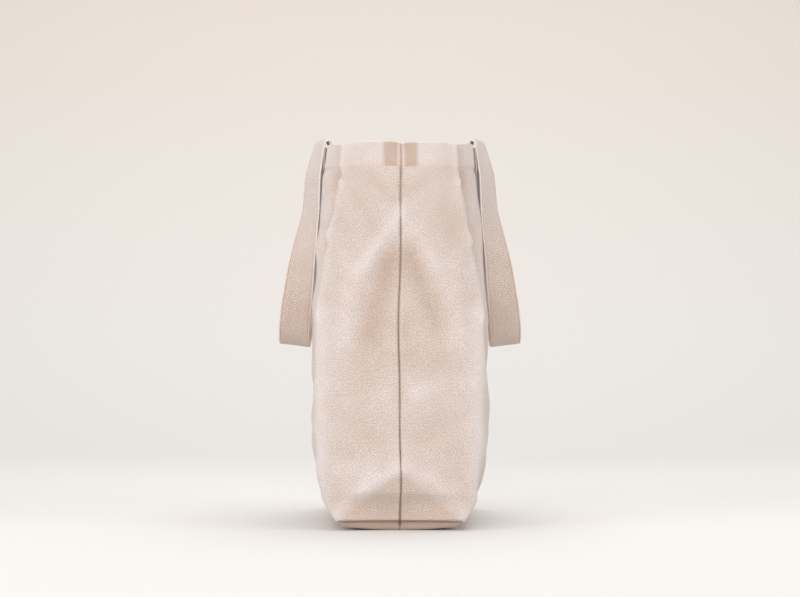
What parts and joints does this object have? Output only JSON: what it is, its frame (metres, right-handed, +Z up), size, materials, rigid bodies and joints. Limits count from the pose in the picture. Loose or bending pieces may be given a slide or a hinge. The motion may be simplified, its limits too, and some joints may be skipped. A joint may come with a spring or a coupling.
{
  "type": "canvas tote bag",
  "caption": "Open-topped canvas tote bag with boxed corners, side seams, a stitched hem and webbing handles that fold down outside.",
  "frame": {"origin": "on the ground under the middle of the bag", "axes": "+Z up; +X from the front to the back, through the two handles; +Y along the bag, from its right end to its left end as the front is faced"},
  "size_m": [0.2532, 0.3262, 0.3902],
  "materials": {
    "canvas": "undyed heavy cotton canvas in a fine twill, matt",
    "webbing": "undyed herringbone cotton webbing, matt",
    "thread": "natural cotton sewing thread"
  },
  "bodies": {
    "bag": {"front_panel": "canvas", "back_panel": "canvas", "front_handle_end_right": "webbing", "front_handle_end_left": "webbing", "back_handle_end_right": "webbing", "back_handle_end_left": "webbing", "front_handle_stitch_right": "thread", "front_handle_stitch_left": "thread", "back_handle_stitch_right": "thread", "back_handle_stitch_left": "thread", "hem_thread": "thread", "side_seam_thread_right": "thread", "side_seam_thread_left": "thread", "corner_seam_thread_right": "thread", "corner_seam_thread_left": "thread", "base_seam_thread": "thread"},
    "front_handle": {"front_handle": "webbing"},
    "back_handle": {"back_handle": "webbing"}
  },
  "joints": [
    {"name": "front_handle_swing", "type": "hinge", "parent": "bag", "child": "front_handle", "pos_m": [-0.07582, 0, 0.39], "axis": [0, 1, 0], "range_deg": [0, 186]},
    {"name": "back_handle_swing", "type": "hinge", "parent": "bag", "child": "back_handle", "pos_m": [0.07582, 0, 0.39], "axis": [0, -1, 0], "range_deg": [0, 186]}
  ]
}
